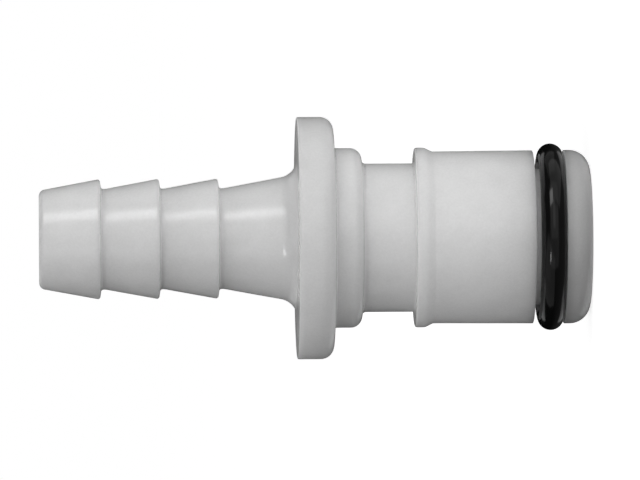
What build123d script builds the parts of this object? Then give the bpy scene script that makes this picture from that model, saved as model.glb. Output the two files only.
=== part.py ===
"""Plug half of a plastic quick disconnect coupling, with a barbed hose tail.

A straight-through plug is two pieces: one acetal moulding and the rubber O-ring in its
nose gland. It stands on its nose here: the axis is +Z, the nose's end face is z = 0 and
the hose tail points up. Lengths are millimetres.
"""

import os
from math import radians, tan

from build123d import *

os.makedirs("parts", exist_ok=True)

# --- Nose: the land that leads the O-ring into the socket ---
nose_diameter = 12.04
nose_length = 1.82
nose_corner_radius = 1.4

# --- O-ring: an imperial ring, 0.364 in bore by 0.070 in section, stretched on its gland ---
seal_section = 1.78
gland_floor_diameter = 9.43
gland_width = 2.13
gland_root_radius = 0.15
gland_edge_radius = 0.06
seal_grip_flat = 0.02  # how far the stretched ring flattens on the gland floor
seal_side_gap = 0.02  # between the ring and the gland wall that it was pushed against

# --- Barrel behind the gland, and the latch lip that ends it ---
barrel_diameter = 12.01
barrel_foot_diameter = 11.93
barrel_length = 6.96
lip_diameter = 12.48
lip_length = 1.25
lip_crown_length = 0.7
lip_edge_radius = 0.17
lip_ramp_radius = 0.6
lip_foot_radius = 0.3

# --- Latch groove, and the shoulder that centres the plug in the socket's mouth ---
groove_diameter = 10.3
groove_width = 3.65
groove_root_radius = 0.2
shoulder_diameter = 12.46
shoulder_length = 1.9
shoulder_corner_radius = 0.8
shoulder_root_radius = 0.27

# --- Flange: square edged towards the hose, rounded and drafted towards the socket ---
flange_diameter = 16.8
flange_thickness = 2.6
flange_corner_radius = 0.92
flange_edge_radius = 0.1
flange_root_radius = 0.12
flange_draft_angle = 3.0

# --- Hose tail, from the flange's back face to the tip ---
tail_length = 17.86
tail_root_radius = 1.33
neck_diameter = 8.86  # of the cone below the barbs, where it would meet the flange
barb_count = 3
barb_pitch = 4.09
barb_crest_diameter = 8.35
barb_root_diameter = 6.99
barb_cone_angle = 10.5
barb_back_angle = 8.0
barb_crest_radius = 0.18
barb_root_fillet = 0.15
tip_diameter = 6.79
tip_corner_radius = 0.45

# --- Flow passage: a wide bore from the nose that steps down to the tail's bore ---
nose_bore_diameter = 6.6
tail_bore_diameter = 4.8
bore_step_setback = 1.2  # from the flange's back face down to the end of the wide bore
bore_step_angle = 30.0
bore_mouth_radius = 0.25
tail_mouth_radius = 0.12


# --- Heights above the nose's end face ---
gland_bottom = nose_length
gland_top = gland_bottom + gland_width
lip_foot = gland_top + barrel_length
lip_top = lip_foot + lip_length
groove_top = lip_top + groove_width
flange_front = groove_top + shoulder_length
flange_back = flange_front + flange_thickness
tip = flange_back + tail_length
bore_step = flange_back - bore_step_setback

# --- Radii that several pieces share ---
gland_floor = gland_floor_diameter / 2
nose_bore = nose_bore_diameter / 2
tail_bore = tail_bore_diameter / 2
crest = barb_crest_diameter / 2
root = barb_root_diameter / 2


# ---------------------------------------------------------------- insert_body
# The half-section is a list of corners, each with its radius, height and rounding. They
# run out along the nose's end face, up the outside to the tip, and back down the passage.
flange_fall = (flange_diameter - shoulder_diameter) / 2 * tan(radians(flange_draft_angle))

nose_corners = [
    (nose_diameter / 2, 0, nose_corner_radius),
    (nose_diameter / 2, gland_bottom, gland_edge_radius),
    (gland_floor, gland_bottom, gland_root_radius),
    (gland_floor, gland_top, gland_root_radius),
    (barrel_diameter / 2, gland_top, gland_edge_radius),
]
latch_corners = [
    (barrel_foot_diameter / 2, lip_foot, lip_foot_radius),
    (lip_diameter / 2, lip_top - lip_crown_length, lip_ramp_radius),
    (lip_diameter / 2, lip_top, lip_edge_radius),
    (groove_diameter / 2, lip_top, groove_root_radius),
    (groove_diameter / 2, groove_top, shoulder_root_radius),
    (shoulder_diameter / 2, groove_top, shoulder_corner_radius),
]
flange_corners = [
    (shoulder_diameter / 2, flange_front, flange_root_radius),
    (flange_diameter / 2, flange_front + flange_fall, flange_corner_radius),
    (flange_diameter / 2, flange_back, flange_edge_radius),
    (neck_diameter / 2, flange_back, tail_root_radius),
]

# Each barb leans back on its steep side and runs down its cone to the next root.
barb_back_run = (crest - root) * tan(radians(barb_back_angle))
barb_cone_run = (crest - root) / tan(radians(barb_cone_angle))
first_crest = tip - (crest - tip_diameter / 2) / tan(radians(barb_cone_angle))
tail_corners = []
for barb in reversed(range(barb_count)):
    crest_height = first_crest - barb * barb_pitch
    back_foot = crest_height - barb_back_run
    if barb == barb_count - 1:
        tail_corners.append((root, crest_height - barb_pitch + barb_cone_run, 0))
    tail_corners.append((root, back_foot, barb_root_fillet))
    tail_corners.append((crest, crest_height, barb_crest_radius))
    if barb > 0:
        tail_corners.append((root, crest_height + barb_cone_run, 0))
tail_corners.append((tip_diameter / 2, tip, tip_corner_radius))

bore_step_run = (nose_bore - tail_bore) / tan(radians(bore_step_angle))
passage_corners = [
    (tail_bore, tip, tail_mouth_radius),
    (tail_bore, bore_step + bore_step_run, 0),
    (nose_bore, bore_step, 0),
    (nose_bore, 0, bore_mouth_radius),
]

corners = nose_corners + latch_corners + flange_corners + tail_corners + passage_corners

with BuildPart() as insert_body:
    with BuildSketch(Plane.XZ):
        with BuildLine():
            FilletPolyline(
                [(radius, height) for radius, height, _ in corners],
                radius=[rounding for _, _, rounding in corners],
                close=True,
            )
        make_face()
    revolve(axis=Axis.Z)
insert_body.part.label = "insert_body"
export_step(insert_body.part, "parts/insert_body.step")


# ---------------------------------------------------------------- nose_o_ring
ring_height = gland_bottom + seal_side_gap + seal_section / 2
ring_radius = gland_floor + seal_section / 2 - seal_grip_flat

with BuildPart() as nose_o_ring:
    with BuildSketch(Plane.XZ):
        with Locations((ring_radius, ring_height)):
            Circle(seal_section / 2)
        with Locations((gland_floor, ring_height)):
            Rectangle(
                seal_section,
                seal_section,
                align=(Align.MAX, Align.CENTER),
                mode=Mode.SUBTRACT,
            )
    revolve(axis=Axis.Z)
nose_o_ring.part.label = "nose_o_ring"
export_step(nose_o_ring.part, "parts/nose_o_ring.step")
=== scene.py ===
"""Looks for the plug half of a plastic quick disconnect coupling.

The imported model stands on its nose, with its axis along +Z. The camera lies on its side, so
that the picture shows the plug level, hose tail to the left, as it is usually pictured.
Everything is in metres.
"""

from math import cos, pi, radians, sin

import bpy
from mathutils import Matrix, Vector


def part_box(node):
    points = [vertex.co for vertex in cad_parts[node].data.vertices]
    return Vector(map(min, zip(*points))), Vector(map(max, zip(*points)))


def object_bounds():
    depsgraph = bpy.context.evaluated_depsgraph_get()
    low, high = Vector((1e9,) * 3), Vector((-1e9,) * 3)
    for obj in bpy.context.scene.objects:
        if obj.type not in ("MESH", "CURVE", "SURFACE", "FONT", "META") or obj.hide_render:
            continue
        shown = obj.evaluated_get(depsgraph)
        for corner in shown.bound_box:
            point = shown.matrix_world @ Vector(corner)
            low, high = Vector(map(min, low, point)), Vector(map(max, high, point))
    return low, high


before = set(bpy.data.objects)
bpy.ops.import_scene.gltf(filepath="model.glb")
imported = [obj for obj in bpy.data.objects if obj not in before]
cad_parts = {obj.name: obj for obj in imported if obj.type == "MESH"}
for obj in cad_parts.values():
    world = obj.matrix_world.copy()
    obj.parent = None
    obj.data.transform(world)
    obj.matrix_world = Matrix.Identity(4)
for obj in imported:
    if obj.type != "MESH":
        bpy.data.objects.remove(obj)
cad_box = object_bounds()
low, high = cad_box
length = high.z - low.z
seal_low, seal_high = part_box("nose_o_ring")

# --- Camera ---
camera_distance = 0.589
camera_height = 0.0356  # near the tail's tip: the view is from slightly towards the tail
aim_height = 0.0187
aim_side = -0.000135  # along X, which is up in the picture
camera_roll = radians(-0.327)
focal_length = 478.0  # millimetres, on a 36 mm wide sensor

# --- Light ---
# A lamp's place is given by two angles in degrees, above the camera (round towards +X) and
# towards the tail (+Z), and by its distance from the middle of the part. Its level is its
# radiance, where the white of the background is 1. The levels down to near_fill, and
# dome_level, come from a least-squares fit to the photograph's greys, rounded. The other levels
# were chosen by comparing renders with it.
lamps = {
    "softbox": dict(above=35, towards_tail=0, distance=0.4, width=0.6, height=0.5, level=0.37),
    "key": dict(above=30, towards_tail=1, distance=0.6, width=0.4, height=0.2, level=0.69),
    "front": dict(above=0, towards_tail=0, distance=0.3, width=0.5, height=0.5, level=0.37),
    "high": dict(above=80, towards_tail=-15, distance=0.4, width=0.5, height=0.6, level=0.6),
    "back": dict(above=110, towards_tail=10, distance=0.6, width=0.5, height=0.5, level=0.25),
    "low_fill": dict(above=-60, towards_tail=35, distance=0.3, width=0.5, height=0.5, level=0.4),
    "near_fill": dict(above=-40, towards_tail=50, distance=0.15, width=0.12, height=0.12, level=0.13),
    "behind": dict(above=180, towards_tail=48, distance=0.4, width=0.6, height=0.4, level=0.6),
    "behind_low": dict(above=180, towards_tail=-45, distance=0.4, width=0.6, height=0.3, level=0.5),
    "strip": dict(above=53, towards_tail=20, distance=0.5, width=0.17, height=0.22, level=4.6),
    "glint": dict(above=-28, towards_tail=33, distance=0.5, width=0.09, height=0.04, level=18.0),
}
dome_level = 0.16  # straight below the nose, falling to nothing level with it

# --- Floor ---
floor_half = 3.0
floor_drop = 0.00002  # below the nose's end face
floor_grey = 0.8
# What the floor gives the camera before any light falls on it: less within floor_reach[0]
# metres of the part's axis, where its shadow shows, and white from floor_reach[1] on.
floor_glow = (0.71, 1.0)
floor_reach = (0.15, 0.35)

# --- Materials: a pair is a range that noise moves a value over; scales are per metre ---
noise_middle = (0.35, 0.65)  # where most of a noise's values lie
noise_roughness = 0.55
grain_height = 0.00002

acetal_ior = 1.48
acetal_depth = 0.004  # how far light goes into it
acetal_grey = (0.87, 0.95)
acetal_cloud_scale = 420.0
acetal_speckle_scale = 6500.0
speckle_middle = (0.3, 0.7)
acetal_gloss = (0.18, 0.26)
acetal_gloss_scale = 900.0
acetal_grain = 0.25
acetal_grain_scale = 9000.0

seal_ior = 1.52
seal_specular = 0.22
seal_grey = (0.004, 0.008)
seal_cloud_scale = 700.0
seal_gloss = (0.11, 0.14)
seal_gloss_scale = 1500.0
seal_grain = 0.05
seal_grain_scale = 7000.0

# --- Painted shade on the acetal: the nose, the barrel behind the seal and the flange's rim ---
# A shade is a factor that darkens the acetal's own colour there. It is painted shade, not a colour of
# the moulding.
gland_gap = 0.00035  # bare gland floor between the seal and the barrel
gland_edge = 0.0000175  # the step from the gland floor's unshaded colour to the barrel's painted shade
barrel_painted_shade_reach = 0.0055  # how far behind the seal the painted shade on the barrel reaches
nose_even = 0.6  # share of the height up to the seal that has the nose's full painted shade
nose_painted_shade = 0.58
seal_side_painted_shade = 0.5  # painted shade on the nose, right beside the seal
barrel_painted_shade = 0.86
rim_painted_shade = 0.86
rim_heights = (0.018, 0.0186, 0.0199, 0.0203)  # the rim's painted shade falls, holds and rises between these


def direction(above, towards_tail):
    """A unit vector from the part towards a lamp."""
    a = radians(above)
    t = radians(towards_tail)
    return Vector((sin(a) * cos(t), -cos(a) * cos(t), sin(t)))


def new_material(name):
    material = bpy.data.materials.new(name)
    material.use_nodes = True
    nodes = material.node_tree.nodes
    nodes.clear()
    return material, nodes, material.node_tree.links


def grey(level):
    return (level, level, level, 1)


def ramp(nodes, links, value, to, at=noise_middle):
    """Maps value from the range `at` to the range `to`, and holds it there beyond the ends."""
    node = nodes.new("ShaderNodeMapRange")
    node.inputs["From Min"].default_value, node.inputs["From Max"].default_value = at
    node.inputs["To Min"].default_value, node.inputs["To Max"].default_value = to
    links.new(value, node.inputs["Value"])
    return node.outputs["Result"]


def noise(nodes, links, place, scale, detail=3.0):
    node = nodes.new("ShaderNodeTexNoise")
    node.inputs["Scale"].default_value = scale
    node.inputs["Detail"].default_value = detail
    node.inputs["Roughness"].default_value = noise_roughness
    links.new(place, node.inputs["Vector"])
    return node.outputs["Fac"]


def grey_between(nodes, links, factor, levels):
    """A grey between two levels. Sockets 6, 7 and 2 are a Mix node's colours and its result."""
    mix = nodes.new("ShaderNodeMix")
    mix.data_type = "RGBA"
    mix.inputs[6].default_value = grey(levels[0])
    mix.inputs[7].default_value = grey(levels[1])
    links.new(factor, mix.inputs[0])
    return mix.outputs[2]


def new_plastic(name, ior):
    material, nodes, links = new_material(name)
    out = nodes.new("ShaderNodeOutputMaterial")
    shader = nodes.new("ShaderNodeBsdfPrincipled")
    shader.inputs["IOR"].default_value = ior
    links.new(shader.outputs["BSDF"], out.inputs["Surface"])
    place = nodes.new("ShaderNodeTexCoord").outputs["Object"]
    return material, nodes, links, shader, place


def finish_surface(nodes, links, shader, place, gloss, gloss_scale, grain, grain_scale):
    """Gives a moulded surface uneven gloss and a fine grain."""
    patches = noise(nodes, links, place, gloss_scale)
    links.new(ramp(nodes, links, patches, gloss), shader.inputs["Roughness"])
    bump = nodes.new("ShaderNodeBump")
    bump.inputs["Strength"].default_value = grain
    bump.inputs["Distance"].default_value = grain_height
    links.new(noise(nodes, links, place, grain_scale, detail=2.0), bump.inputs["Height"])
    links.new(bump.outputs["Normal"], shader.inputs["Normal"])


def painted_shade_by_height(nodes, links, place):
    """A factor on the acetal's colour, below 1 where shade is painted on: the nose, the barrel behind
    the seal and the flange's rim.
    """
    gland_end = seal_high.z + gland_gap
    painted_shades = [
        (seal_low.z * nose_even, nose_painted_shade),
        (seal_low.z, seal_side_painted_shade),
        (seal_high.z, 1.0),
        (gland_end, 1.0),
        (gland_end + gland_edge, barrel_painted_shade),
        (seal_high.z + barrel_painted_shade_reach, 1.0),
        (rim_heights[0], 1.0),
        (rim_heights[1], rim_painted_shade),
        (rim_heights[2], rim_painted_shade),
        (rim_heights[3], 1.0),
    ]
    along = nodes.new("ShaderNodeSeparateXYZ")
    links.new(place, along.inputs[0])
    colours = nodes.new("ShaderNodeValToRGB")
    colours.color_ramp.interpolation = "EASE"
    stops = colours.color_ramp.elements
    stops.remove(stops[1])
    for number, (height, shade) in enumerate(painted_shades):
        stop = stops[0] if number == 0 else stops.new(height / high.z)
        stop.position = height / high.z
        stop.color = grey(shade)
    share = ramp(nodes, links, along.outputs["Z"], (0.0, 1.0), (0.0, high.z))
    links.new(share, colours.inputs["Fac"])
    return colours.outputs["Color"]


def acetal():
    """White moulded acetal: satin, faintly mottled, and light goes a little way into it."""
    material, nodes, links, shader, place = new_plastic("acetal_white", acetal_ior)
    shader.inputs["Subsurface Weight"].default_value = 1.0
    shader.inputs["Subsurface Radius"].default_value = (1.0, 1.0, 1.0)
    shader.inputs["Subsurface Scale"].default_value = acetal_depth

    half = (0.0, 0.5)  # two noises of half a share each add up to a whole one
    cloud = noise(nodes, links, place, acetal_cloud_scale)
    speckle = noise(nodes, links, place, acetal_speckle_scale, detail=1.0)
    mottle = nodes.new("ShaderNodeMath")
    mottle.operation = "ADD"
    links.new(ramp(nodes, links, cloud, half), mottle.inputs[0])
    links.new(ramp(nodes, links, speckle, half, speckle_middle), mottle.inputs[1])

    # The mottled grey times painted shade by height on the nose, beside the seal and on the flange's
    # rim.
    shaded = nodes.new("ShaderNodeVectorMath")
    shaded.operation = "MULTIPLY"
    links.new(grey_between(nodes, links, mottle.outputs[0], acetal_grey), shaded.inputs[0])
    links.new(painted_shade_by_height(nodes, links, place), shaded.inputs[1])
    links.new(shaded.outputs[0], shader.inputs["Base Color"])

    surface = (acetal_gloss, acetal_gloss_scale, acetal_grain, acetal_grain_scale)
    finish_surface(nodes, links, shader, place, *surface)
    return material


def seal_rubber():
    """Black nitrile rubber, smooth from its mould."""
    material, nodes, links, shader, place = new_plastic("seal_rubber_black", seal_ior)
    shader.inputs["Specular IOR Level"].default_value = seal_specular
    cloud = noise(nodes, links, place, seal_cloud_scale)
    links.new(grey_between(nodes, links, cloud, seal_grey), shader.inputs["Base Color"])
    surface = (seal_gloss, seal_gloss_scale, seal_grain, seal_grain_scale)
    finish_surface(nodes, links, shader, place, *surface)
    return material


def floor_material():
    """White to the camera, apart from the part's soft shadow."""
    material, nodes, links = new_material("floor_white")
    out = nodes.new("ShaderNodeOutputMaterial")
    seen = nodes.new("ShaderNodeAddShader")
    glow = nodes.new("ShaderNodeEmission")
    away = nodes.new("ShaderNodeVectorMath")
    away.operation = "LENGTH"
    links.new(nodes.new("ShaderNodeTexCoord").outputs["Object"], away.inputs[0])
    level = ramp(nodes, links, away.outputs["Value"], floor_glow, floor_reach)
    links.new(level, glow.inputs["Strength"])
    lit = nodes.new("ShaderNodeBsdfDiffuse")
    lit.inputs["Color"].default_value = grey(floor_grey)
    links.new(glow.outputs[0], seen.inputs[0])
    links.new(lit.outputs[0], seen.inputs[1])
    links.new(seen.outputs[0], out.inputs["Surface"])
    return material


def make_floor():
    half = floor_half
    mesh = bpy.data.meshes.new("floor")
    z = low.z - floor_drop
    corners = [(-half, -half, z), (half, -half, z), (half, half, z), (-half, half, z)]
    mesh.from_pydata(corners, [], [(0, 1, 2, 3)])
    floor = bpy.data.objects.new("floor", mesh)
    bpy.context.scene.collection.objects.link(floor)
    mesh.materials.append(floor_material())
    # Only the camera sees it, so light reaches the part from below its nose as well.
    floor.visible_diffuse = False
    floor.visible_glossy = False
    floor.visible_transmission = False
    floor.visible_shadow = False


def make_world():
    """A weak glow from below the nose, and plain white to the camera."""
    world = bpy.data.worlds.new("studio")
    bpy.context.scene.world = world
    world.use_nodes = True
    nodes, links = world.node_tree.nodes, world.node_tree.links
    nodes.clear()
    out = nodes.new("ShaderNodeOutputWorld")
    path = nodes.new("ShaderNodeLightPath")
    downward = nodes.new("ShaderNodeVectorMath")
    downward.operation = "DOT_PRODUCT"
    downward.inputs[1].default_value = (0, 0, -1)
    links.new(nodes.new("ShaderNodeTexCoord").outputs["Generated"], downward.inputs[0])
    level = ramp(nodes, links, downward.outputs["Value"], (0.0, dome_level), (0.0, 1.0))
    dome = nodes.new("ShaderNodeBackground")
    dome.inputs["Color"].default_value = grey(1)
    links.new(level, dome.inputs["Strength"])
    white = nodes.new("ShaderNodeBackground")
    white.inputs["Color"].default_value = grey(1)
    choose = nodes.new("ShaderNodeMixShader")
    links.new(path.outputs["Is Camera Ray"], choose.inputs[0])
    links.new(dome.outputs[0], choose.inputs[1])
    links.new(white.outputs[0], choose.inputs[2])
    links.new(choose.outputs[0], out.inputs["Surface"])


def make_lamp(name, above, towards_tail, distance, width, height, level):
    """A soft lamp that faces the middle of the part and isn't seen itself."""
    lamp = bpy.data.lights.new(name, "AREA")
    lamp.shape = "RECTANGLE"
    lamp.size = width
    lamp.size_y = height
    lamp.energy = level * pi * width * height
    body = bpy.data.objects.new(name, lamp)
    bpy.context.scene.collection.objects.link(body)
    away = direction(above, towards_tail)
    body.location = Vector((0, 0, length / 2)) + away * distance
    body.rotation_mode = "QUATERNION"
    body.rotation_quaternion = away.to_track_quat("Z", "Y")
    body.visible_camera = False


def make_camera():
    data = bpy.data.cameras.new("camera")
    data.lens = focal_length
    data.clip_start = 0.01
    data.clip_end = 20.0
    camera = bpy.data.objects.new("camera", data)
    bpy.context.scene.collection.objects.link(camera)
    bpy.context.scene.camera = camera
    camera.location = (aim_side, -camera_distance, camera_height)
    back = (camera.location - Vector((aim_side, 0, aim_height))).normalized()
    up = Vector((cos(camera_roll), 0, sin(camera_roll)))
    right = up.cross(back).normalized()
    up = back.cross(right)
    turn = Matrix((right, up, back)).transposed()
    camera.rotation_mode = "QUATERNION"
    camera.rotation_quaternion = turn.to_quaternion()


def dress(node, material):
    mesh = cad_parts[node].data
    for slot in range(len(mesh.materials)):
        mesh.materials[slot] = material


bpy.context.scene.view_settings.view_transform = "Standard"
dress("insert_body", acetal())
dress("nose_o_ring", seal_rubber())
make_floor()
make_world()
for name, settings in lamps.items():
    make_lamp(name, **settings)
make_camera()
